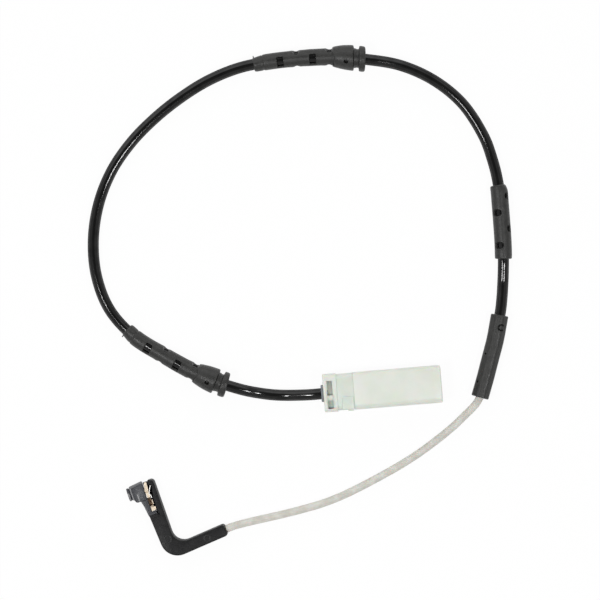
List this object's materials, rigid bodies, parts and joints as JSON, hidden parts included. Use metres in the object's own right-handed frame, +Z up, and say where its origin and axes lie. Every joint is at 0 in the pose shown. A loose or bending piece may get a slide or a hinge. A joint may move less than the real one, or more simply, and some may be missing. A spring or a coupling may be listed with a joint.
{
  "type": "brake pad wear sensor",
  "caption": "L-shaped moulded wear sensor head with spring clip, grey and black leads joined by a splice sleeve, rubber grommets and a milky rectangular plug.",
  "frame": {"origin": "the floor point under the middle of the moulded head's bounding box, as the sensor lies flat", "axes": "+X along the head's longer side, from its sensing tip to where the grey lead leaves; +Y to the far side of the lead's loop; +Z up from the floor"},
  "size_m": [0.1634, 0.1964, 0.0112],
  "materials": {
    "arm_black": "black moulded nylon, satin with a faint grain",
    "block_graphite": "dark graphite moulded nylon, satin",
    "clip_bronze": "bright rolled phosphor bronze",
    "loop_copper": "bare drawn copper wire",
    "core_brown": "thin brown insulation",
    "core_blue": "thin blue insulation",
    "grey_silicone": "matt warm light grey silicone",
    "crimp_tin": "tinned crimp barrel",
    "black_sheath": "black extruded sheath with a wet gloss",
    "sleeve_rubber": "dark grey moulded rubber, matt",
    "plug_nylon": "milky natural nylon, slightly green",
    "seal_rubber": "blue-grey silicone seal",
    "carrier_nylon": "milky natural nylon, a little greener",
    "contact_tin": "tinned round contact"
  },
  "bodies": {
    "root": {"arm_body": "arm_black", "sensing_block": "block_graphite", "retaining_clip": "clip_bronze", "wear_loop": "loop_copper", "head_core_a": "core_brown", "head_core_b": "core_blue", "grey_lead": "grey_silicone", "splice_sleeve": "sleeve_rubber", "splice_core_grey_a": "core_brown", "splice_core_grey_b": "core_blue", "crimp_a": "crimp_tin", "crimp_b": "crimp_tin", "splice_core_black_a": "core_brown", "splice_core_black_b": "core_blue", "black_lead": "black_sheath", "right_guide_sleeve": "sleeve_rubber", "top_grommet": "sleeve_rubber", "lower_grommet": "sleeve_rubber", "plug_housing": "plug_nylon", "plug_rear_cap": "plug_nylon", "cable_seal": "seal_rubber", "contact_carrier": "carrier_nylon", "contact_pin_a": "contact_tin", "contact_pin_b": "contact_tin", "plug_core_a": "core_brown", "plug_core_b": "core_blue"}
  },
  "joints": []
}
